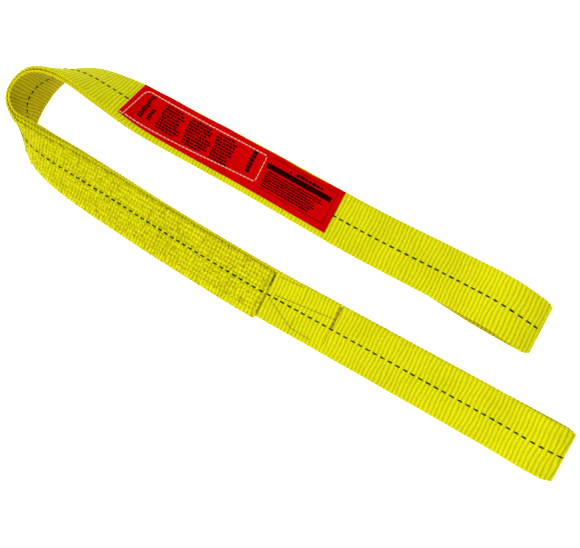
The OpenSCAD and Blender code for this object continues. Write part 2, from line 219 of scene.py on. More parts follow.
def tube_faces(rings, k, first=0):
    """Quads between rings of k points each, closed round each ring."""
    i, j = np.meshgrid(np.arange(rings - 1), np.arange(k), indexing="ij")
    a, b = first + i * k + j, first + i * k + (j + 1) % k
    return np.stack([a, b, b + k, a + k], -1).reshape(-1, 4)


def around_circle(k):
    """Angles of k points spread evenly round a circle."""
    return np.linspace(0, 2 * math.pi, k + 1)[:-1]


class Pile:
    """Points and faces of many small solids that make one mesh."""

    def __init__(self):
        self.points, self.faces, self.count = [], [], 0

    def add(self, rings):
        rings = np.asarray(rings, float)
        n, k = rings.shape[:2]
        self.faces += tube_faces(n, k, self.count).tolist()
        self.faces.append([self.count + j for j in range(k)][::-1])
        self.faces.append([self.count + (n - 1) * k + j for j in range(k)])
        self.points.append(rings.reshape(-1, 3))
        self.count += n * k

    def piece(self, name, material, smooth_faces=True):
        return mesh_piece(name, np.concatenate(self.points), self.faces, material,
                          smooth_faces=smooth_faces)


# ---------------------------------------------------------------- woven web
EDGE_R = 1.5                      # rounding of a ply's edges
EDGE_REACH = 2.5                  # the ribs grow deeper over this width at each edge
RIB_STEPS = np.array([0, 0.1, 0.3, 0.5, 0.7, 0.9])
RIB_DEPTH, LAP_RIB_DEPTH = 0.36, 0.2
ROW_PULL, PUCKER, PUCKER_COLUMNS = 0.12, 0.45, 12
# The second texture coordinate is a on the outer face, BACK_U - a on the inside face, and on
# the selvedges b added to SIDE_U, which takes the sign of a. The web's material has masks that
# tell the three apart by SIDE_REACH and BACK_FROM.
SIDE_U, SIDE_REACH, BACK_FROM, BACK_U = 30, 2.3, 34, 60


def section(across, arc=3):
    """Round-edged outline of one ply: a and b offsets and their outward directions."""
    h, r = PLY_T / 2, EDGE_R
    flat = np.linspace(-HALF_W + r, HALF_W - r, across + 1)
    quarter = np.linspace(0, math.pi / 2, arc + 2)[1:-1]

    def corner(a, b, start):
        return [(a + r * math.cos(q), b + r * math.sin(q), math.cos(q), math.sin(q))
                for q in start - quarter]

    rows = [(a, h, 0, 1) for a in flat]
    rows += corner(HALF_W - r, h - r, math.pi / 2)
    rows += [(HALF_W, b, 1, 0) for b in (h - r, 0, r - h)]
    rows += corner(HALF_W - r, r - h, 0)
    rows += [(a, -h, 0, -1) for a in flat[::-1]]
    rows += corner(r - HALF_W, r - h, -math.pi / 2)
    rows += [(-HALF_W, b, -1, 0) for b in (r - h, 0, h - r)]
    rows += corner(r - HALF_W, h - r, math.pi)
    return np.array(rows)


def dimples(rng, ribs, u, a):
    """A smooth random field along the ribs u and across the web."""
    grid = rng.normal(0, 1, (ribs * 2 + 2, PUCKER_COLUMNS + 1))
    rows = np.clip(u * 2, 0, ribs * 2)
    r0 = rows.astype(int)
    cols = (a + HALF_W) / WEB_W * PUCKER_COLUMNS
    c0 = np.clip(cols.astype(int), 0, PUCKER_COLUMNS - 1)
    fr, fc = (rows - r0)[:, None], (cols - c0)[None, :]
    return ((grid[r0][:, c0] * (1 - fc) + grid[r0][:, c0 + 1] * fc) * (1 - fr)
            + (grid[r0 + 1][:, c0] * (1 - fc) + grid[r0 + 1][:, c0 + 1] * fc) * fr)


def web_run(name, ply, start, length, material, rib_depth=RIB_DEPTH, pucker=0.0, across=14,
            trim=None, thin=None):
    """A length of ribbed web on a ply from the distance start.

    A ply is three functions of the distance: its middle, its side and its face. pucker is the
    depth of the dimples of a sewn run. trim draws the edges in and thin scales the thickness,
    both by the distance from start."""
    ribs = max(2, round(length / RIB))
    u = np.concatenate([(i + RIB_STEPS) for i in range(ribs)] + [[ribs]])
    s = u * length / ribs
    c, w, n = (along(s + start) for along in ply)
    a, b, na, nb = section(across).T
    edge = smooth((np.abs(a) - HALF_W + EDGE_REACH) / EDGE_REACH)
    rng = np.random.default_rng(len(name) * 7 + ribs)
    few = ribs // 3 + 2
    wander = np.interp(s, np.linspace(0, length, few), rng.normal(0, 1, few))
    # The ribs run across with a slight wave, and each has its own depth
    wave = 0.12 * np.sin(a[None, :] / 5 + 1.6 * wander[:, None]) * (nb != 0)[None, :]
    wave[[0, -1]] = 0
    crest = np.abs(np.sin(math.pi * (u[:, None] + wave))) ** 0.55
    own = rng.normal(0, 1, ribs + 1)[np.minimum(u.astype(int), ribs)][:, None]
    depth = rib_depth * (1 + 0.8 * edge[None, :]) * (1 + 0.12 * own)
    drop = depth * (crest - 1) + 0.05 * wander[:, None]
    if pucker:
        # The sewn rows pull the face down and it stands up between them
        outer_face = (nb > 0)[None, :]
        pull = 1 + np.cos(2 * math.pi * (a - ROW_A[0]) / ROW_STEP)
        drop = drop - outer_face * ROW_PULL * pull
        drop = drop + pucker * (dimples(rng, ribs, u, a) - 1.0) * outer_face

    wide, thick = a[None, :], b[None, :]
    if trim:
        wide = wide * (1 - trim(s)[:, None] / HALF_W)
    if thin:
        thick = thick * thin(s)[:, None]
    rings = (c[:, None, :] + w[:, None, :] * (wide + na * drop)[:, :, None]
             + n[:, None, :] * (thick + nb * drop)[:, :, None])
    k = len(a)
    points = rings.reshape(-1, 3)
    faces = tube_faces(len(u), k)[:, ::-1].tolist()
    faces.append(list(range(k)))
    faces.append([len(points) - 1 - j for j in range(k)])
    around = np.where(nb > 0.5, a, np.where(nb < -0.5, BACK_U - a, np.sign(a) * SIDE_U + b))
    uv = np.stack(np.broadcast_arrays((u[:, None] + wave) * RIB, around[None, :]), -1)
    piece = mesh_piece(name, points, faces, material, uv.reshape(-1, 2) * MM)
    for cap in (-1, -2):
        piece.data.polygons[len(faces) + cap].use_smooth = False
    return piece


# ---------------------------------------------------------------- materials
YARN_W = 1.27                     # width of one column of warp yarn
HATCH_W = 2.1                     # spacing of the slanting lines on the selvedges
# Selvedge hatch colours: tan weft, with painted shade in its dark lines
SELVEDGE_SHADE_DARK, SELVEDGE_LIGHT = (0.27, 0.18, 0.0, 1), (0.95, 0.90, 0.0, 1)
# Colours of the painted shade on the faces inside the loop
INSIDE_SHADE_DARK, INSIDE_SHADE_LIGHT = (0.20, 0.15, 0.0, 1), (0.58, 0.50, 0.0, 1)


def principled(name, roughness, specular, sheen=0.0):
    material = bpy.data.materials.new(name)
    material.use_nodes = True
    tree = material.node_tree
    shader = tree.nodes["Principled BSDF"]
    shader.inputs["Roughness"].default_value = roughness
    shader.inputs["Sheen Weight"].default_value = sheen
    shader.inputs["Specular IOR Level"].default_value = specular
    return material, tree, shader


def node(tree, kind, **values):
    made = tree.nodes.new(kind)
    for key, value in values.items():
        made.inputs[key].default_value = value
    return made


def set_socket(tree, socket, value):
    """Give a socket a plain value, or link it to the output that is passed."""
    if isinstance(value, (int, float, tuple)):
        socket.default_value = value
    else:
        tree.links.new(value, socket)


def math_node(tree, operation, a, b=None):
    made = tree.nodes.new("ShaderNodeMath")
    made.operation = operation
    set_socket(tree, made.inputs[0], a)
    if b is not None:
        set_socket(tree, made.inputs[1], b)
    return made.outputs[0]


def mix_rgb(tree, factor, a, b):
    """Mix two colours. Inputs 6 and 7 and output 2 of a mix node are its colour sockets."""
    made = tree.nodes.new("ShaderNodeMix")
    made.data_type = "RGBA"
    set_socket(tree, made.inputs[0], factor)
    set_socket(tree, made.inputs[6], a)
    set_socket(tree, made.inputs[7], b)
    return made.outputs[2]


def web_material(name, crest, groove_shade, speckle, grain):
    """Warp yarns in narrow columns over weft ribs, from the web's own length and width, with painted
    shade in the grooves, on the inside faces and in the selvedge hatch.
    """
    material, tree, shader = principled(name, 0.8, 0.06, sheen=0.02)
    uv = tree.nodes.new("ShaderNodeUVMap")
    uv.uv_map = "web"
    split = tree.nodes.new("ShaderNodeSeparateXYZ")
    tree.links.new(uv.outputs[0], split.inputs[0])
    width = split.outputs["Y"]

    def calc(operation, a, b=None):
        return math_node(tree, operation, a, b)

    def ridges(value):
        return calc("ABSOLUTE", calc("SINE", calc("MULTIPLY", value, math.pi)))

    def spread(value, size):
        return calc("MULTIPLY", calc("SUBTRACT", value, 0.5), size)

    along = calc("DIVIDE", split.outputs["X"], RIB * MM)
    across = calc("DIVIDE", width, YARN_W * MM)
    half_rib = calc("FLOOR", calc("MULTIPLY", along, 2.0))
    yarn = ridges(calc("ADD", across, calc("MULTIPLY", half_rib, 0.5)))
    where = tree.nodes.new("ShaderNodeTexCoord")
    cloud = node(tree, "ShaderNodeTexNoise", Scale=28.0, Detail=3.0)
    fine = node(tree, "ShaderNodeTexNoise", Scale=grain, Detail=2.0)
    for noise in (cloud, fine):
        tree.links.new(where.outputs["Object"], noise.inputs["Vector"])

    # Light and dark of the weave as painted shade, darker in the grooves between ribs and yarns, then
    # fine specks and wide soft patches
    light = calc("POWER", ridges(along), 0.6)
    light = calc("MULTIPLY", light, calc("ADD", calc("MULTIPLY", yarn, 0.3), 0.72))
    specks = spread(fine.outputs[0], speckle * 2)
    light = calc("ADD", light, calc("ADD", specks, spread(cloud.outputs[0], 0.5)))
    clamp = tree.nodes.new("ShaderNodeClamp")
    tree.links.new(light, clamp.inputs[0])
    weave_shade_and_grain = clamp.outputs[0]
    colour = mix_rgb(tree, weave_shade_and_grain, groove_shade, crest)

    # Painted shade: the faces on the inside of the loop are drawn darker and browner
    on_back = calc("GREATER_THAN", width, BACK_FROM * MM)
    colour = mix_rgb(tree, on_back, colour, mix_rgb(tree, weave_shade_and_grain, INSIDE_SHADE_DARK, INSIDE_SHADE_LIGHT))

    # The selvedges are browner, with a fine slanting hatch of the turned weft whose dark lines are
    # partly painted shade of the serrated edge
    off_side = calc("ABSOLUTE", calc("SUBTRACT", calc("ABSOLUTE", width), SIDE_U * MM))
    on_side = calc("LESS_THAN", off_side, SIDE_REACH * MM)
    hatch = ridges(calc("ADD", along, calc("DIVIDE", width, HATCH_W * MM)))
    hatch = calc("ADD", hatch, calc("MULTIPLY", specks, 1.5))
    colour = mix_rgb(tree, on_side, colour, mix_rgb(tree, hatch, SELVEDGE_SHADE_DARK, SELVEDGE_LIGHT))
    tree.links.new(colour, shader.inputs["Base Color"])

    bump = node(tree, "ShaderNodeBump", Strength=0.55, Distance=0.0004)
    height = calc("ADD", calc("MULTIPLY", yarn, 0.7), calc("MULTIPLY", fine.outputs[0], 0.5))
    tree.links.new(height, bump.inputs["Height"])
    tree.links.new(bump.outputs[0], shader.inputs["Normal"])
    return material


def plain_material(name, dark, bright, roughness, scale=400.0, bump_depth=0.0002, specular=0.08):
    """A thread, print or vinyl whose colour and surface vary a little."""
    material, tree, shader = principled(name, roughness, specular)
    where = tree.nodes.new("ShaderNodeTexCoord")
    noise = node(tree, "ShaderNodeTexNoise", Scale=scale, Detail=3.0)
    tree.links.new(where.outputs["Object"], noise.inputs["Vector"])
    tree.links.new(mix_rgb(tree, noise.outputs[0], dark, bright), shader.inputs["Base Color"])
    bump = node(tree, "ShaderNodeBump", Strength=0.4, Distance=bump_depth)
    tree.links.new(noise.outputs[0], bump.inputs["Height"])
    tree.links.new(bump.outputs[0], shader.inputs["Normal"])
    return material


# The second colour of each web is the painted shade in the grooves of its ribs
WEB = web_material("web_yellow", (0.79, 0.79, 0.0, 1), (0.38, 0.36, 0.0, 1), 0.3, 520.0)
LAP_WEB = web_material("web_splice_yellow", (0.84, 0.83, 0.0, 1), (0.38, 0.33, 0.0, 1), 1.0, 380.0)
YELLOW_THREAD = plain_material("splice_thread_yellow", (0.54, 0.52, 0.0, 1), (0.80, 0.80, 0.0, 1), 0.8)
TAN_THREAD = plain_material("thread_tan", (0.22, 0.13, 0.01, 1), (0.54, 0.38, 0.04, 1), 0.8)
DARK_THREAD = plain_material("thread_dark", (0.01, 0.02, 0.0, 1), (0.08, 0.07, 0.01, 1), 0.8)
TRACER = plain_material("tracer_green", (0.002, 0.007, 0.003, 1), (0.012, 0.07, 0.012, 1), 0.9,
                        scale=250.0, specular=0.0)
TAG_RED = plain_material("tag_red", (0.48, 0.0, 0.0, 1), (0.66, 0.0, 0.002, 1), 0.6,
                         scale=60.0, bump_depth=0.0003, specular=0.0)
CREAM = plain_material("thread_cream", (0.72, 0.36, 0.24, 1), (0.96, 0.78, 0.58, 1), 0.8)
PRINT = plain_material("print_black", (0.004, 0.0, 0.0, 1), (0.03, 0.0, 0.0, 1), 0.9, specular=0.0)


# ---------------------------------------------------------------- runs of web on the route
INNER_B, OUTER_B = -(PLY_GAP + PLY_T) / 2, (PLY_GAP + PLY_T) / 2
LAP_END_THIN, LAP_END_REACH = 0.14, 8.0
BASE_TIP_THIN = 0.1


def strap_side(s):
    return route_frame(t_of(s))[1]


def strap_face(s):
    return route_frame(t_of(s))[2]


def inner_centre(s):
    c, _, n = route_frame(t_of(s))
    return c + n * INNER_B


def lap_thin(d):
    """Share of the lapped ply's thickness at d from its cut end, which is pressed thin."""
    return LAP_END_THIN + (1 - LAP_END_THIN) * smooth(np.asarray(d, float) / LAP_END_REACH)


def outer_centre(s):
    """Middle of the lapped ply, which steps down off the base and goes on as the outer ply."""
    t = t_of(s)
    c, w, n = route_frame(t)
    k = step_down(t)[:, None]
    lie = (lap_thin(s - S_LAP)[:, None] - 1) * PLY_T / 2
    return c + n * (OUTER_B + lie + LAP_LIFT * k) - w * LAP_SHIFT * k


def base_thin(s):
    """Share of the base ply's thickness, which thins out where the outer ply steps down."""
    return np.maximum(BASE_TIP_THIN, step_down(t_of(s)))


def base_centre(s):
    c, _, n = route_frame(t_of(s))
    return c + n * (PLY_GAP / 2 + PLY_T / 2 * base_thin(s))[:, None]


INNER_PLY = (inner_centre, strap_side, strap_face)
OUTER_PLY = (outer_centre, strap_side, strap_face)
BASE_PLY = (base_centre, strap_side, strap_face)
inner = web_run("web_inner_run", INNER_PLY, LOW_JOIN, UP_JOIN - LOW_JOIN, WEB)
lap = web_run("web_splice_lap", OUTER_PLY, S_LAP, S_BASE_END - S_LAP, LAP_WEB, LAP_RIB_DEPTH,
              PUCKER, across=56, thin=lap_thin)
outer = web_run("web_outer_run", OUTER_PLY, S_BASE_END, UP_JOIN - S_BASE_END, WEB)
base = web_run("web_splice_base", BASE_PLY, LOW_JOIN, S_BASE_TIP - LOW_JOIN, WEB,
               thin=lambda s: base_thin(s + LOW_JOIN))


# ---------------------------------------------------------------- eyes
TOP_DRIFT_X, UNDER_DRIFT_X = 158.0, 105.0
LEG_POINTS, UNDER_POINTS = 60, 40
PULL_REACH = 5.0                  # how far from the tip the corners of a fold are drawn in


def eye_path(start_x, tip_x, fold_r, slope, rise_len, flat_len, n=60):
    """Middle line of an eye's loop in x and z, from the flat top ply round to the under ply."""
    r = fold_r + PLY_T / 2
    c = np.array([tip_x - PLY_T / 2 - r, PLY_T / 2 + r])
    q = math.radians(90 - slope)
    a = c + r * np.array([math.cos(q), math.sin(q)])
    top = np.array([start_x, PLY_T * 1.5 + PLY_GAP])
    p = [top, top + [flat_len, 0], a + rise_len * np.array([-math.sin(q), math.cos(q)]), a]
    u = np.linspace(0, 1, n)[:, None]
    arch = ((1 - u) ** 3 * p[0] + 3 * u * (1 - u) ** 2 * p[1] + 3 * u * u * (1 - u) * p[2]
            + u ** 3 * p[3])
    fold = [c + r * np.array([math.cos(k), math.sin(k)])
            for k in np.linspace(q, -math.pi / 2, 24)[1:]]
    return np.concatenate([arch, fold])


def reach(x, x0):
    return np.maximum(0, (x - x0) / (UPPER_TIP_X - PLY_T / 2 - x0))


def drift_top(x):
    return reach(x, TOP_DRIFT_X) ** 2


def drift_under(x):
    return 1 - (1 - np.minimum(1, reach(x, UNDER_DRIFT_X))) ** 2


class LegEnd:
    """Web from the join on a leg, along its top ply, round the eye and back along the under ply."""

    def __init__(self, join_x, sign, path, y, hinge_x, drift):
        ts = np.linspace(float(t_low(join_x) if sign > 0 else t_up(join_x)),
                         0 if sign > 0 else T_END - 0.0001, LEG_POINTS)
        c, w, _ = route_frame(ts)
        w = -sign * w
        loop = np.stack([path[:, 0], np.full(len(path), y), path[:, 1]], 1)
        far = int(np.argmax(path[:, 0]))
        on_top = np.arange(len(path)) <= far
        loop[:, 1] -= drift * np.where(on_top, drift_top(path[:, 0]), drift_under(path[:, 0]))
        low = c[::-1] + np.array([0, 0, INNER_B])
        back = np.linspace(loop[-1, 0], hinge_x, UNDER_POINTS)[1:-1]
        under = np.stack([back, y - drift * drift_under(back), np.full(len(back), low[0, 2])], 1)
        self.line = np.concatenate([(c + [0, 0, OUTER_B])[:-1], loop, under, low])
        level = np.tile([0, -1.0, 0.0], (len(loop) + len(under), 1))
        self.sides = np.concatenate([w[:-1], level, w[::-1]])
        self.dist = path_lengths(self.line)
        last_on_leg = LEG_POINTS - 2
        gap = abs(hinge_x - self.line[last_on_leg, 0])
        self.hinge_s = float(self.dist[last_on_leg] + gap)
        self.tip_s = float(self.dist[last_on_leg + 1 + far])
        self.length = float(self.dist[-1])

    def pick(self, values, s):
        return np.stack([np.interp(s, self.dist, values[:, k]) for k in range(3)], 1)

    def centre(self, s):
        return self.pick(self.line, s)

    def side(self, s):
        v = self.pick(self.sides, s)
        return v / np.linalg.norm(v, axis=1)[:, None]

    def face(self, s):
        s = np.asarray(s, float)
        d = self.centre(np.minimum(s + 0.4, self.length)) - self.centre(np.maximum(s - 0.4, 0))
        w = self.side(s)
        d[:, 1] = np.where(np.abs(w[:, 1]) > 0.9999, 0, d[:, 1])
        f = np.cross(w, d)
        return f / np.linalg.norm(f, axis=1)[:, None]

    def on(self, s, a, h):
        """Points at a from the tracer line and h above the outer face."""
        return self.centre(s) + self.side(s) * np.asarray(a)[:, None] \
            + self.face(s) * (PLY_T / 2 + np.asarray(h))[:, None]

    def run(self, name, pull):
        """The whole length as one piece, its corners drawn in by pull at the tip."""
        return web_run(name, (self.centre, self.side, self.face), 0, self.length, WEB,
                       trim=lambda s: pull * np.exp(-((s - self.tip_s) / PULL_REACH) ** 2))


lower_leg_end = LegEnd(LOW_JOIN_X, 1, eye_path(LOWER_ARCH_X, LOWER_TIP_X, 0.5, 25, 28, 40), 0.0,
                       LOWER_HINGE_X, 0.0)
upper_leg_end = LegEnd(UP_JOIN_X, -1, eye_path(UPPER_ARCH_X, UPPER_TIP_X, 2.5, 55, 40, 48), UPPER_Y,
                       UPPER_HINGE_X, UPPER_DRIFT)
lower_end = lower_leg_end.run("web_lower_end", 2.0)
upper_end = upper_leg_end.run("web_upper_end", 2.2)


# ---------------------------------------------------------------- hinge places, and the nodes the web stands for
# Each blend names two bodies and the points between which the web goes over from one to the other
EYE_BLEND, TAG_BLEND = 22, 2
BEND = ("lower_leg", "upper_leg", point(-390, 38), point(-390, 74))
LOWER = ("lower_leg", "lower_eye", point(LOWER_HINGE_X - EYE_BLEND, 0),
         point(LOWER_HINGE_X + EYE_BLEND, 0))
UPPER = ("upper_leg", "upper_eye", point(UPPER_HINGE_X - EYE_BLEND, UPPER_Y),
         point(UPPER_HINGE_X + EYE_BLEND, UPPER_Y))
TAG = ("upper_leg", "tag_free_end", point(TAG_SEAM_X - TAG_BLEND, TAG_SEAM_Y),
       point(TAG_SEAM_X + TAG_BLEND, TAG_SEAM_Y))


def follow(piece, hinge, slot, *nodes):
    """Bake a piece's place and hide the nodes it stands for."""
    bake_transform(piece)
    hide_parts(*nodes)


def carry(piece, body, slot, *nodes):
    """Let a piece ride on a body and stand for nodes, if any."""
    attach(piece, body)
    if nodes:
        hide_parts(*nodes)


follow(lower_end, LOWER, "web_yellow", "lower_eye_under", "lower_eye_top", "lower_eye_fold")
follow(upper_end, UPPER, "web_yellow", "upper_eye_under", "upper_eye_top", "upper_eye_fold")
follow(inner, BEND, "web_yellow", "lower_ply_under", "bend_inner_lower", "bend_inner_upper",
       "upper_ply_under")
follow(lap, BEND, "web_yellow", "splice_lap")
follow(outer, BEND, "web_yellow", "bend_outer_lower", "bend_outer_upper", "upper_ply_top")
follow(base, BEND, "web_yellow", "lower_ply_top", "splice_base_end")


# ---------------------------------------------------------------- places on the web's faces
def on_outer(s, a, h):
    """Points at a from the tracer line and h above the outermost face of the legs and bend."""
    s, a, h = (np.asarray(v, float) for v in (s, a, h))
    t = t_of(s)
    c, w, n = route_frame(t)
    lap_top = PLY_GAP + PLY_T * lap_thin(s - S_LAP)
    b = HALF_T + np.where(s > S_LAP, lap_top * step_down(t), 0)
    return c + w * a[:, None] + n * (b + h)[:, None]


def on_inner(s, a, h):
    """Points at a from the tracer line and h out of the face on the inside of the bend."""
    c, w, n = route_frame(t_of(s))
    return c + w * np.asarray(a)[:, None] - n * (HALF_T + np.asarray(h))[:, None]


# ---------------------------------------------------------------- tracer yarn
DASH_W, DASH_H = 1.75, 0.46
DASH_CORNERS, DASH_RINGS = 8, 9
INNER_DASH_T = (5.9, 14.8)        # the inside of the bend has dashes between these places


def yarn_dash(pile, on, s, length, width, height):
    """A lens of tracer yarn, half sunk into the face."""
    u = np.linspace(-1, 1, DASH_RINGS)
    swell = np.clip(1.02 - np.abs(u) ** 2.4, 0.05, 1)
    q = around_circle(DASH_CORNERS)
    pile.add([on(np.full(DASH_CORNERS, s + length / 2 * v), np.cos(q) * width / 2 * k,
                 np.sin(q) * height * k) for v, k in zip(u, swell)])


def dash_row(name, spans):
    """One mesh of tracer dashes: spans hold the surface, first place and end."""
    pile = Pile()
    for on, start, stop in spans:
        for place in np.arange(start, stop, DASH_PITCH):
            yarn_dash(pile, on, place + random.uniform(-0.25, 0.25),
                      DASH_LEN * random.uniform(1.05, 1.3), DASH_W * random.uniform(0.9, 1.1),
                      DASH_H + random.uniform(-0.05, 0.05))
    return pile.piece(name, TRACER)


def first_after(origin, place):
    """First place of the dash pitch, counted from origin, that is not before place."""
    return origin + math.ceil((place - origin) / DASH_PITCH) * DASH_PITCH


LOW_ORIGIN, UP_ORIGIN = DASH_PHASE, S_FINE[-1] - DASH_PHASE
inner_from, inner_to = (s_of(t) for t in INNER_DASH_T)
bend_dashes = dash_row("tracer_bend_dashes", [
    (on_outer, first_after(LOW_ORIGIN, S_LAP + 4), S_SEWN - 3),
    (on_inner, first_after(LOW_ORIGIN, inner_from), inner_to)])
follow(bend_dashes, BEND, "tracer_green", "tracer_splice", "tracer_bend_lower", "tracer_bend_upper")
lower_dashes = dash_row("tracer_lower_dashes", [
    (lower_leg_end.on, first_after(lower_leg_end.hinge_s - DASH_PHASE, 1), lower_leg_end.tip_s - 1),
    (on_outer, first_after(LOW_ORIGIN, LOW_JOIN + 1), S_LAP - 3)])
follow(lower_dashes, LOWER, "tracer_green", "tracer_lower_leg", "tracer_lower_eye")
upper_dashes = dash_row("tracer_upper_dashes", [
    (on_outer, first_after(UP_ORIGIN, S_SEAM + 6), UP_JOIN - 3),
    (upper_leg_end.on, first_after(upper_leg_end.hinge_s - DASH_PHASE, 1), upper_leg_end.tip_s - 1)])
follow(upper_dashes, UPPER, "tracer_green", "tracer_upper_leg", "tracer_upper_eye")


# ---------------------------------------------------------------- threads and stitches
def thread(pile, on, s, a, h, radius, k=6):
    """A thread through places s, a and heights h on a face."""
    s, a, h = (np.asarray(v, float) for v in (s, a, h))
    p = on(s, a, h)
    up = on(s, a, h + 1) - p
    d = np.gradient(p, axis=0)
    d /= np.linalg.norm(d, axis=1)[:, None]
    across = np.cross(d, up)
    across /= np.linalg.norm(across, axis=1)[:, None]
    up = np.cross(across, d)
    q = around_circle(k)
    pile.add(p[:, None, :] + radius * (np.cos(q)[None, :, None] * across[:, None, :]
                                       + np.sin(q)[None, :, None] * up[:, None, :]))


def zigzag(pile, s0, s1, a, pitch, swing, radius, height=0.1, dip=0.3):
    """A zigzag row from s0 to s1 that dips into the web at every needle hole."""
    n = int(abs(s1 - s0) / pitch) * 2
    k = np.arange(n * 3 + 1)
    wave = np.abs(((k / 3) % 2) - 1) * 2 - 1
    drift = np.interp(k, np.linspace(0, k[-1], 12), [random.uniform(-0.35, 0.35) for _ in range(12)])
    lift = height - dip * (k % 3 == 0)
    thread(pile, on_outer, s0 + (s1 - s0) * k / k[-1], a + swing * wave + drift, lift, radius)


def stitched_line(pile, on, p, q, pitch=3.6, fill=0.8, radius=0.33, height=0.12):
    """Single stitches from p to q, each given as s and a."""
    (s0, a0), (s1, a1) = p, q
    n = max(1, round(math.hypot(s1 - s0, a1 - a0) / pitch))
    for i in range(n):
        u = (i + 0.5 + np.array([-0.5, -0.36, 0, 0.36, 0.5]) * fill) / n
        thread(pile, on, s0 + (s1 - s0) * u, a0 + (a1 - a0) * u,
               height - np.array([0.3, 0, -0.08, 0, 0.3]), radius)


# ---------------------------------------------------------------- sewing of the splice
rows, loops = Pile(), Pile()
for row_place in ROW_A + [-v for v in ROW_A]:
    zigzag(rows, S_LAP + 1.2, S_BASE_END, row_place, 4.1, 1.2, 0.3)
    # Loops of the darker bobbin thread show at places along each row
    place = S_LAP + random.uniform(2, 20)
    while place < S_BASE_END - 8:
        span = random.uniform(1.9, 4.2)
        zigzag(loops, place, place + span, row_place + random.uniform(-1.2, 1.2), 1.8, 0.7, 0.19,
               height=0.1, dip=0.2)
        place += span + random.uniform(12, 50)
follow(rows.piece("splice_zigzag_rows", YELLOW_THREAD), BEND, "web_yellow", "splice_rows_rolled")
follow(loops.piece("splice_bobbin_loops", TAN_THREAD), BEND, "thread_tan", "splice_rows_flat")

# Stitch lines past the cut end, each from x and a to x and a, and a short bar across them
BAR_X, BAR_FIRST_A, BAR_STITCHES = 38, 2, 22
TACK_LINES = [((-33, 21), (-5, 23)), ((-29, 3), (BAR_X, 10)), ((-34, -2), (0, -18)),
              ((0, -18), (24, -19)), ((BAR_X, -17), (BAR_X, 2))]


def over_cut_end(pile, count, first, pitch, scatter, slant, lift, radius):
    """Stitches one beside another over the cut end of the lapped ply."""
    for i in range(count):
        a = first + i * pitch + random.uniform(-scatter, scatter)
        thread(pile, on_outer, S_LAP + np.array([-0.9, -0.3, 0.5, 1.2]), a + np.array(slant),
               np.array(lift), radius)


tack = Pile()
for (x0, a0), (x1, a1) in TACK_LINES:
    stitched_line(tack, on_outer, (s_low(x0), a0), (s_low(x1), a1))
bar_s = s_low(BAR_X)
for i in range(BAR_STITCHES):
    swing = 1.5 + random.uniform(-0.5, 0.5)
    slant = np.array([0, 0.1, 0.35, 0.6, 0.7]) * random.uniform(-1, 1.6)
    thread(tack, on_outer, bar_s + swing * np.array([-1, -0.8, 0, 0.8, 1]), BAR_FIRST_A + i + slant,
           np.array([-0.2, 0.25, 0.45, 0.25, -0.2]), 0.4)
over_cut_end(tack, 18, -22, 1.8, 0.5, [0, 0.2, 0.5, 0.6], [-0.2, 0.3, 0.2, -0.2], 0.22)
carry(tack.piece("splice_end_tack_threads", TAN_THREAD), "lower_leg", "thread_tan",
      "splice_end_tack")

dark_ends = Pile()
over_cut_end(dark_ends, 9, 9.0, 1.3, 0.4, [0, 0.3, 0.7, 0.9], [-0.2, 0.35, 0.2, -0.2], 0.24)
carry(dark_ends.piece("splice_cut_edge_threads", DARK_THREAD), "lower_leg", "tracer_green")


# ---------------------------------------------------------------- tag
TAG_W, TAG_T, TAG_SHIFT = 44.0, 1.0, 3.0
TAG_A0, TAG_A1 = -TAG_W / 2 - TAG_SHIFT, TAG_W / 2 - TAG_SHIFT
TAG_GAP, FLAP_GAP = 0.12, 0.6     # under the whole tag, and added under its free end
TAG_RINGS, TAG_COLUMNS = 173, 23


def tag_top(s):
    """Height of the tag's upper face over the leg's face, with slight waves in the vinyl."""
    s = np.asarray(s, float) - S_SEWN
    free = smooth((s - (S_SEAM - S_SEWN)) / 6)
    wave = 0.12 * np.sin(s / 17.0) + 0.1 * np.sin(s / 6.1 + 1)
    return TAG_T + TAG_GAP + free * FLAP_GAP + wave * (0.5 + 0.5 * free)


def on_tag(s, a, h):
    """Points on the tag at a from the tracer line and h above its upper face."""
    s = np.asarray(s, float)
    a = np.asarray(a, float)
    ripple = 0.12 * np.sin(s / 9 + a / 5)
    return on_outer(s, a, tag_top(s) + ripple + np.asarray(h))


def tag_sheet():
    s = np.linspace(S_SEWN, S_FREE, TAG_RINGS)
    r = TAG_T / 2 - 0.05
    middle = np.linspace(0.6, TAG_W - 0.6, TAG_COLUMNS)
    across = np.concatenate([[0, 0.15], middle, [TAG_W - 0.15, TAG_W]]) + TAG_A0
    edge = np.minimum(across - TAG_A0, TAG_A1 - across)
    inset = r - np.sqrt(np.clip(r ** 2 - np.clip(r - edge, 0, r) ** 2, 0, None))
    # The edge at TAG_A0 wanders a little where the stitching draws it in
    wander = 0.35 * np.sin(s / 11) + 0.3 * np.sin(s / 31 + 2)
    rings = []
    for value, w in zip(s, wander):
        a = across - w * (across - TAG_A0 < 1)
        one = np.full(len(a), value)
        top = on_tag(one, a, -inset)
        low = on_tag(one, a, inset - TAG_T + 0.1)
        rings.append(np.concatenate([top, low[::-1]]))
    rings = np.array(rings)
    n, k = rings.shape[:2]
    faces = tube_faces(n, k)[:, ::-1].tolist()
    faces += [list(range(k)), [(n - 1) * k + j for j in range(k)][::-1]]
    return mesh_piece("tag_vinyl", rings.reshape(-1, 3), faces, TAG_RED)


tag = tag_sheet()
follow(tag, TAG, "tag_red", "tag_panel", "tag_flap")

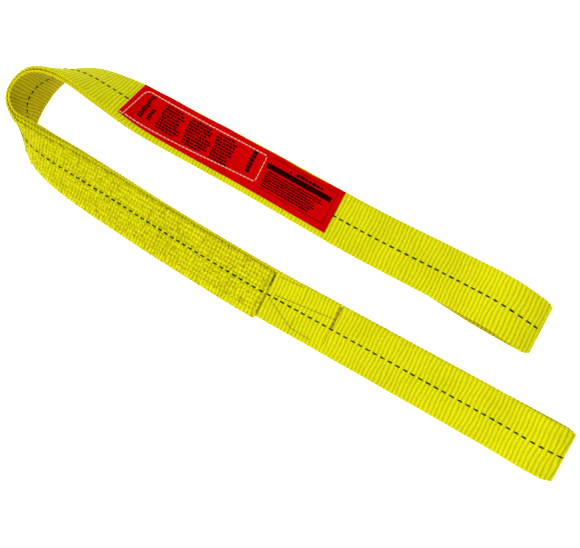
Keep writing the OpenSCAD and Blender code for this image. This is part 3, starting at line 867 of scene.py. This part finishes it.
# The seam runs round the panel with a cut corner, each line from s and a to s and a
S_LEFT, S_RIGHT = S_SEWN + 7, S_SEAM - 1
A_FAR, A_NEAR_L, A_NEAR_R = TAG_A0 + 5.6, TAG_A1 - 2, TAG_A1 - 10
SEAM_LINES = [
    ((S_LEFT + 6, A_FAR), (S_RIGHT - 1, A_FAR)),
    ((S_LEFT - 6.5, A_NEAR_L + 0.7), (S_LEFT - 2.6, A_NEAR_L + 0.3)),
    ((S_LEFT, A_NEAR_L - 0.5), (S_RIGHT - 1, A_NEAR_R)),
    ((S_LEFT - 2, TAG_A1 - 0.6), (S_LEFT, A_FAR + 6)),
    ((S_LEFT, A_FAR + 6), (S_LEFT + 1.6, A_FAR + 1.8)),
    ((S_LEFT + 1.6, A_FAR + 1.8), (S_LEFT + 6, A_FAR)),
    ((S_RIGHT, A_FAR + 1), (S_RIGHT, A_NEAR_R - 1))]
seam = Pile()
for start, end in SEAM_LINES:
    stitched_line(seam, on_tag, start, end, pitch=4.6, fill=0.78, radius=0.42, height=0.15)
carry(seam.piece("tag_lockstitch", CREAM), "upper_leg", "thread_cream", "tag_stitching")


# ---------------------------------------------------------------- print on the tag
# Plain bars and rows of short blocks stand for the print
PRINT_SINK, PRINT_RISE = 0.05, 0.06


def print_block(pile, s, a, length, width):
    """A flat printed bar that starts at s and is centred on a."""
    n = max(1, int(length / 2))
    across = np.linspace(a - width / 2, a + width / 2, max(1, int(width / 2)) + 1)
    rings = []
    for v in np.linspace(s, s + length, n + 1):
        one = np.full(len(across), v)
        rings.append(np.concatenate([on_tag(one, across, one * 0 - PRINT_SINK),
                                     on_tag(one, across[::-1], one * 0 + PRINT_RISE)]))
    pile.add(rings)


def print_row(pile, s, a, length, width, gap, low, high):
    """A row of plain blocks, low to high long, that stands for a line of print."""
    end = s + length
    while s < end - low:
        size = min(random.uniform(low, high), end - s)
        print_block(pile, s, a + random.uniform(-0.12, 0.12), size, width * random.uniform(0.8, 1.1))
        s += size + gap * random.uniform(0.6, 1.3)


def block_column(pile, place, scatter, first, pitch, count, sizes, width):
    """Blocks one beside another across the tag, the first at a = first."""
    for r in range(count):
        print_block(pile, place + random.uniform(0, scatter), first + pitch * r,
                    random.uniform(*sizes), width)


panel_print = Pile()
block_column(panel_print, S_SEWN + 16, 1.5, -16, 2.7, 10, (4, 6), 2.1)
block_column(panel_print, S_SEWN + 26, 1.2, -4, 2.6, 5, (3.5, 5), 2.1)
for start, width in ((37, 30), (70, 33), (106, 30)):
    for r in range(9):
        print_row(panel_print, S_SEWN + start + random.uniform(0, 3), A_FAR + 3.6 + 3.1 * r,
                  width - random.uniform(0, 9), 2.2, 0.8, 1.6, 4.6)
for r in range(6):
    print_block(panel_print, S_SEAM - 17, -16.5 + 3.9 * r, 5.2, 3.3)
carry(panel_print.piece("tag_panel_print", PRINT, False), "upper_leg", "print_black",
      "tag_panel_marks")

# The free end has a thin frame, a triangle beside a row, a heavy bar and seven rows
FLAP_S0, FLAP_S1 = S_SEAM + 4, S_FREE - 6
FLAP_A0, FLAP_A1 = TAG_A0 + 4.5, TAG_A1 - 7
FLAP_LEN, FRAME_W = FLAP_S1 - FLAP_S0, 0.5
HEAD_A = FLAP_A0 + 3.4
flap_print = Pile()
print_block(flap_print, FLAP_S0, FLAP_A0, FLAP_LEN, FRAME_W)
print_block(flap_print, FLAP_S0, FLAP_A1, FLAP_LEN, FRAME_W)
print_block(flap_print, FLAP_S1 - FRAME_W, (FLAP_A0 + FLAP_A1) / 2, FRAME_W, FLAP_A1 - FLAP_A0)
print_row(flap_print, FLAP_S0 + 32, HEAD_A, 36, 2.9, 0.7, 3.2, 5.5)
triangle_s = FLAP_S0 + 26 + np.array([-1.9, 1.9, 0])
triangle_a = HEAD_A + np.array([1.7, 1.7, -1.7])
flap_print.add([on_tag(triangle_s, triangle_a, np.full(3, h)) for h in (-0.05, 0.07)])
print_block(flap_print, FLAP_S0 - 1, FLAP_A0 + 8.8, FLAP_LEN - 2, 5.4)
for r in range(7):
    print_row(flap_print, FLAP_S0 + 1.5 + random.uniform(0, 2), FLAP_A0 + 14.2 + 2.5 * r,
              FLAP_LEN - random.uniform(6, 26), 1.6, 0.6, 1.8, 5.0)
carry(flap_print.piece("tag_flap_print", PRINT, False), "tag_free_end", "print_black",
      "tag_flap_marks")


# ---------------------------------------------------------------- floor and light
FLOOR_HALF, FLOOR_DROP = 6, 0.0002

floor_mesh = bpy.data.meshes.new("floor")
floor_corners = [(-FLOOR_HALF, -FLOOR_HALF, 0), (FLOOR_HALF, -FLOOR_HALF, 0),
                 (FLOOR_HALF, FLOOR_HALF, 0), (-FLOOR_HALF, FLOOR_HALF, 0)]
floor_mesh.from_pydata(floor_corners, [], [(0, 1, 2, 3)])
floor = bpy.data.objects.new("floor", floor_mesh)
floor.location.z = -FLOOR_DROP
bpy.context.scene.collection.objects.link(floor)
white = plain_material("floor_white", (0.93, 0.93, 0.93, 1), (0.96, 0.96, 0.96, 1), 0.9)
glow = white.node_tree.nodes["Principled BSDF"]
glow.inputs["Emission Color"].default_value = (1, 1, 1, 1)
glow.inputs["Emission Strength"].default_value = 0.85
floor_mesh.materials.append(white)

world = bpy.data.worlds.new("studio")
bpy.context.scene.world = world
world.use_nodes = True
background = world.node_tree.nodes["Background"]
background.inputs["Color"].default_value = (1, 1, 1, 1)
background.inputs["Strength"].default_value = 0.45


def lamp(name, kind, energy, turns):
    """A light turned by three angles in degrees."""
    made = bpy.data.objects.new(name, bpy.data.lights.new(name, kind))
    made.data.energy = energy
    made.rotation_euler = [math.radians(v) for v in turns]
    bpy.context.scene.collection.objects.link(made)
    return made


sun = lamp("soft_sun", "SUN", 2.0, (14, -16, 0))
sun.data.angle = math.radians(35)
soft_box = lamp("soft_box", "AREA", 0.42, (-14, 8, 0))
soft_box.data.size = 0.35
soft_box.location = (0.36, -0.20, 0.55)
bpy.context.scene.view_settings.view_transform = "Standard"
